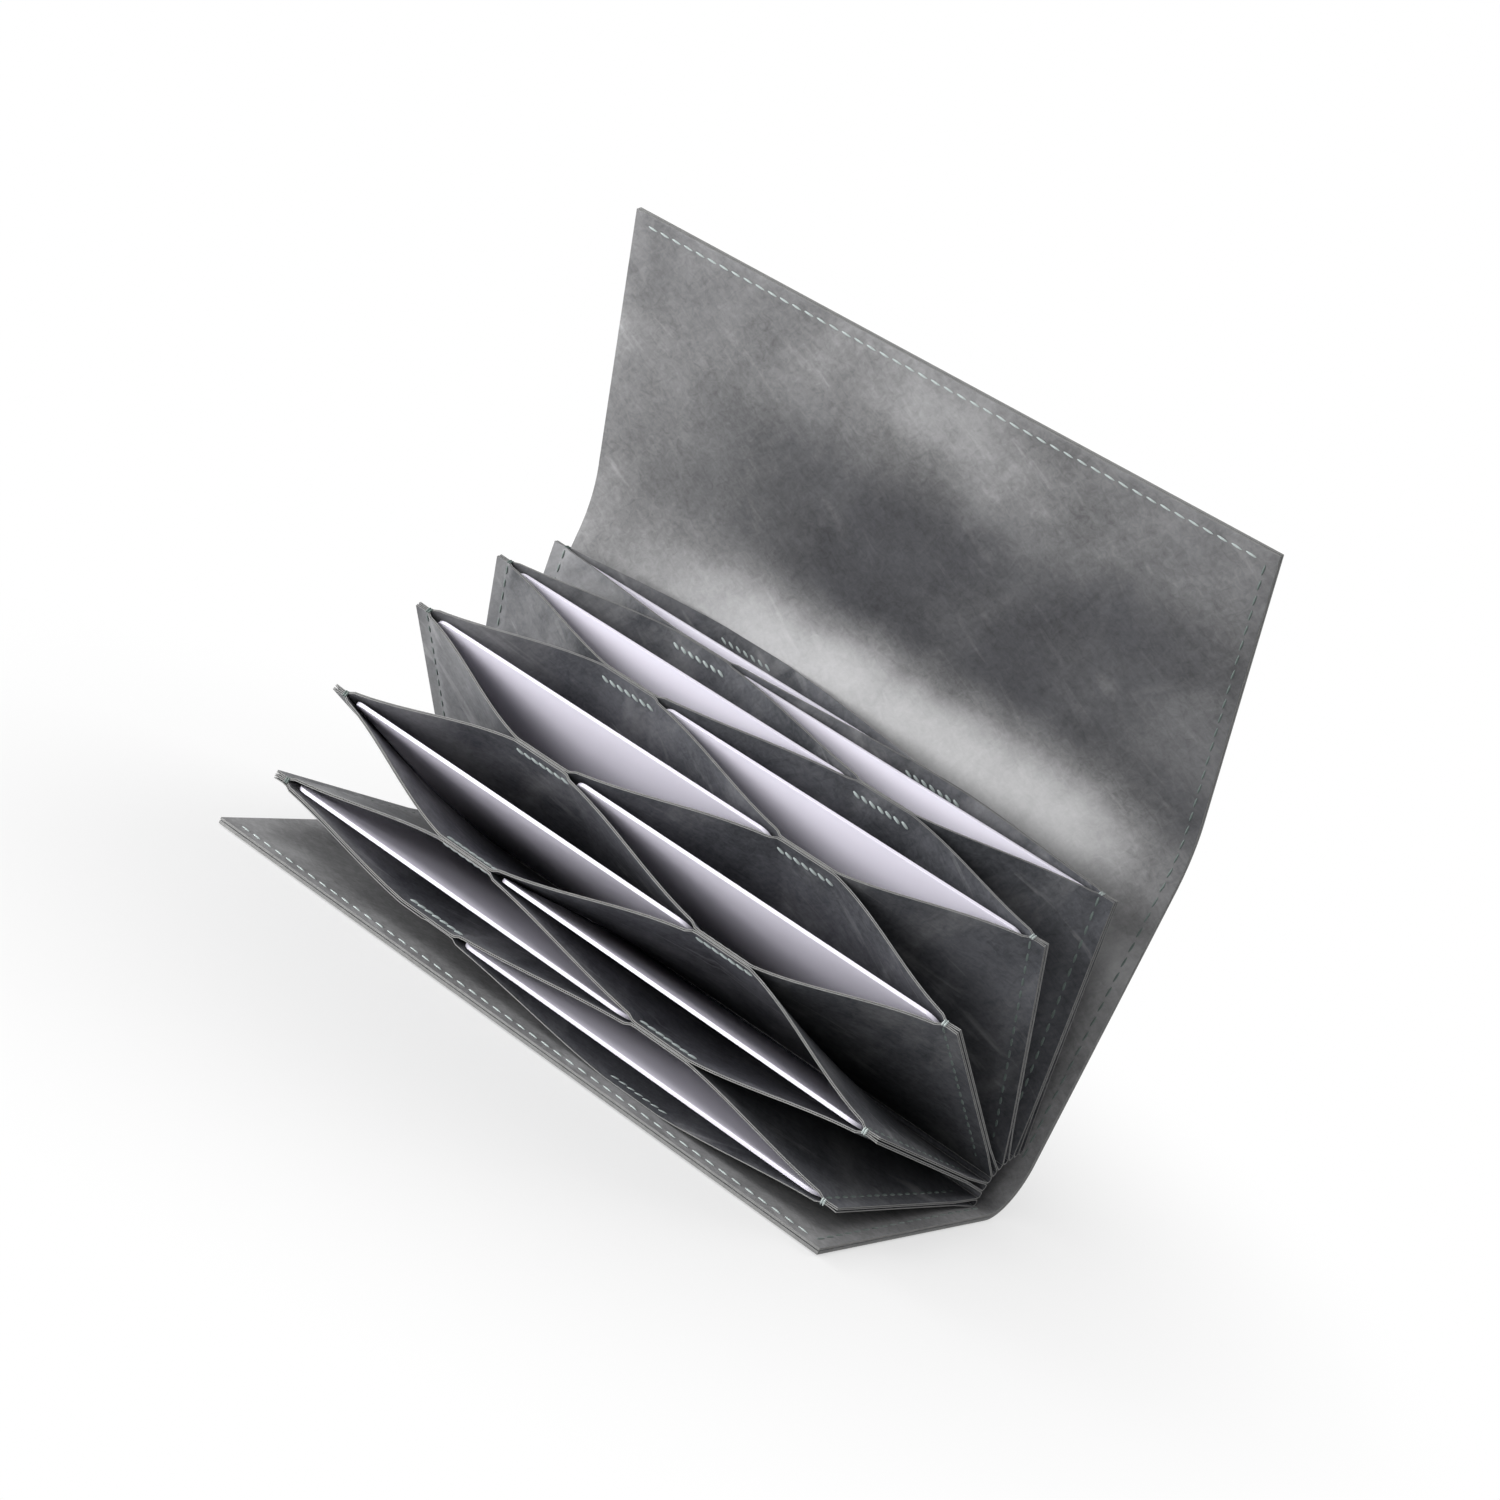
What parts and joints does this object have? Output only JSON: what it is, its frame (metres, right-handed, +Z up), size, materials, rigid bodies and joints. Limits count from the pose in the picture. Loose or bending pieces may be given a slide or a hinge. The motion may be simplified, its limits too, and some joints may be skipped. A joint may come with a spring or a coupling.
{
  "type": "card case",
  "caption": "Fan-fold leather card case standing open on its front panel, with staggered sewn pockets, a blank card in each and a long flap leaning up behind.",
  "frame": {"origin": "centre of the front panel's outer face, which rests on the table", "axes": "+X along the case to its right end, +Y from the front panel's free edge to the spine, +Z up"},
  "size_m": [0.148, 0.0717, 0.1343],
  "materials": {
    "outer_leather": "matt, brushed grey",
    "lining_leather": "matt, brushed grey",
    "pocket_leather": "matt, grey",
    "card_plastic": "satin white"
  },
  "bodies": {
    "front_cover": {"front_panel_lining": "lining_leather", "front_panel_outer": "outer_leather"},
    "leaf_01": {"pocket_01": "pocket_leather"},
    "leaf_02": {"pocket_02": "pocket_leather"},
    "leaf_03": {"pocket_03": "pocket_leather"},
    "leaf_04": {"pocket_04": "pocket_leather"},
    "leaf_05": {"pocket_05": "pocket_leather", "spine_lining": "lining_leather", "spine_outer": "outer_leather"},
    "leaf_06": {"pocket_06": "pocket_leather"},
    "leaf_07": {"pocket_07": "pocket_leather"},
    "leaf_08": {"pocket_08": "pocket_leather"},
    "leaf_09": {"pocket_09": "pocket_leather"},
    "leaf_10": {"pocket_10": "pocket_leather"},
    "back_cover": {"back_panel_lining": "lining_leather", "back_panel_outer": "outer_leather"},
    "flap_bridge": {"flap_bridge_lining": "lining_leather", "flap_bridge_outer": "outer_leather"},
    "flap_panel": {"flap_panel_lining": "lining_leather", "flap_panel_outer": "outer_leather"},
    "card_01": {"card_01": "card_plastic"},
    "card_02": {"card_02": "card_plastic"},
    "card_03": {"card_03": "card_plastic"},
    "card_04": {"card_04": "card_plastic"},
    "card_05": {"card_05": "card_plastic"},
    "card_06": {"card_06": "card_plastic"},
    "card_07": {"card_07": "card_plastic"},
    "card_08": {"card_08": "card_plastic"},
    "card_09": {"card_09": "card_plastic"},
    "card_10": {"card_10": "card_plastic"}
  },
  "joints": [
    {"name": "leaf_01_hinge", "type": "hinge", "parent": "front_cover", "child": "leaf_01", "pos_m": [0, 0.02944, 0.00135], "axis": [-1, 0, 0], "range_deg": [-4.2, 0], "deforming": ["pocket_01"]},
    {"name": "leaf_02_hinge", "type": "hinge", "parent": "leaf_01", "child": "leaf_02", "pos_m": [0, 0.02956, 0.00301], "axis": [-1, 0, 0], "range_deg": [-4.8, 0], "deforming": ["pocket_02"]},
    {"name": "leaf_03_hinge", "type": "hinge", "parent": "leaf_02", "child": "leaf_03", "pos_m": [0, 0.02982, 0.00465], "axis": [-1, 0, 0], "range_deg": [-6.2, 0], "deforming": ["pocket_03"]},
    {"name": "leaf_04_hinge", "type": "hinge", "parent": "leaf_03", "child": "leaf_04", "pos_m": [0, 0.03026, 0.00625], "axis": [-1, 0, 0], "range_deg": [-10.8, 0], "deforming": ["pocket_04"]},
    {"name": "leaf_05_hinge", "type": "hinge", "parent": "leaf_04", "child": "leaf_05", "pos_m": [0, 0.03098, 0.00774], "axis": [-1, 0, 0], "range_deg": [-9.6, 0], "deforming": ["pocket_05", "spine_lining", "spine_outer"]},
    {"name": "leaf_06_hinge", "type": "hinge", "parent": "leaf_05", "child": "leaf_06", "pos_m": [0, 0.03195, 0.00909], "axis": [-1, 0, 0], "range_deg": [-11.2, 0], "deforming": ["pocket_06"]},
    {"name": "leaf_07_hinge", "type": "hinge", "parent": "leaf_06", "child": "leaf_07", "pos_m": [0, 0.03316, 0.01023], "axis": [-1, 0, 0], "range_deg": [-10.4, 0], "deforming": ["pocket_07"]},
    {"name": "leaf_08_hinge", "type": "hinge", "parent": "leaf_07", "child": "leaf_08", "pos_m": [0, 0.03456, 0.01112], "axis": [-1, 0, 0], "range_deg": [-9, 0], "deforming": ["pocket_08"]},
    {"name": "leaf_09_hinge", "type": "hinge", "parent": "leaf_08", "child": "leaf_09", "pos_m": [0, 0.03607, 0.01179], "axis": [-1, 0, 0], "range_deg": [-9.6, 0], "deforming": ["pocket_09"]},
    {"name": "leaf_10_hinge", "type": "hinge", "parent": "leaf_09", "child": "leaf_10", "pos_m": [0, 0.03768, 0.0122], "axis": [-1, 0, 0], "range_deg": [-4.7, 0], "deforming": ["pocket_10"]},
    {"name": "back_hinge", "type": "hinge", "parent": "leaf_10", "child": "back_cover", "pos_m": [0, 0.03932, 0.01248], "axis": [-1, 0, 0], "range_deg": [-9.5, 0]},
    {"name": "flap_fold", "type": "hinge", "parent": "back_cover", "child": "flap_bridge", "pos_m": [0, 0.03992, 0.07596], "axis": [-1, 0, 0], "range_deg": [-64, 90]},
    {"name": "flap_tip_fold", "type": "hinge", "parent": "flap_bridge", "child": "flap_panel", "pos_m": [0, 0.03137, 0.09348], "axis": [-1, 0, 0], "range_deg": [-90, 30]},
    {"name": "card_01_slide", "type": "slide", "parent": "leaf_01", "child": "card_01", "axis": [0, -0.9973, 0.0732], "range_m": [0, 0.05]},
    {"name": "card_02_slide", "type": "slide", "parent": "leaf_02", "child": "card_02", "axis": [0, -0.9877, 0.1564], "range_m": [0, 0.05]},
    {"name": "card_03_slide", "type": "slide", "parent": "leaf_03", "child": "card_03", "axis": [0, -0.965, 0.2622], "range_m": [0, 0.05]},
    {"name": "card_04_slide", "type": "slide", "parent": "leaf_04", "child": "card_04", "axis": [0, -0.8988, 0.4384], "range_m": [0, 0.05]},
    {"name": "card_05_slide", "type": "slide", "parent": "leaf_05", "child": "card_05", "axis": [0, -0.8131, 0.5821], "range_m": [0, 0.05]},
    {"name": "card_06_slide", "type": "slide", "parent": "leaf_06", "child": "card_06", "axis": [0, -0.6845, 0.729], "range_m": [0, 0.05]},
    {"name": "card_07_slide", "type": "slide", "parent": "leaf_07", "child": "card_07", "axis": [0, -0.5417, 0.8406], "range_m": [0, 0.05]},
    {"name": "card_08_slide", "type": "slide", "parent": "leaf_08", "child": "card_08", "axis": [0, -0.4035, 0.915], "range_m": [0, 0.05]},
    {"name": "card_09_slide", "type": "slide", "parent": "leaf_09", "child": "card_09", "axis": [0, -0.2453, 0.9694], "range_m": [0, 0.05]},
    {"name": "card_10_slide", "type": "slide", "parent": "leaf_10", "child": "card_10", "axis": [0, -0.165, 0.9863], "range_m": [0, 0.03]}
  ],
  "couplings": [
    {"joint": "leaf_01_hinge", "follows": "leaf_06_hinge", "ratio": 0.375},
    {"joint": "leaf_02_hinge", "follows": "leaf_06_hinge", "ratio": 0.42857},
    {"joint": "leaf_03_hinge", "follows": "leaf_06_hinge", "ratio": 0.55357},
    {"joint": "leaf_04_hinge", "follows": "leaf_06_hinge", "ratio": 0.96429},
    {"joint": "leaf_05_hinge", "follows": "leaf_06_hinge", "ratio": 0.85714},
    {"joint": "leaf_07_hinge", "follows": "leaf_06_hinge", "ratio": 0.92857},
    {"joint": "leaf_08_hinge", "follows": "leaf_06_hinge", "ratio": 0.80357},
    {"joint": "leaf_09_hinge", "follows": "leaf_06_hinge", "ratio": 0.85714},
    {"joint": "leaf_10_hinge", "follows": "leaf_06_hinge", "ratio": 0.41964},
    {"joint": "back_hinge", "follows": "leaf_06_hinge", "ratio": 0.84821}
  ]
}
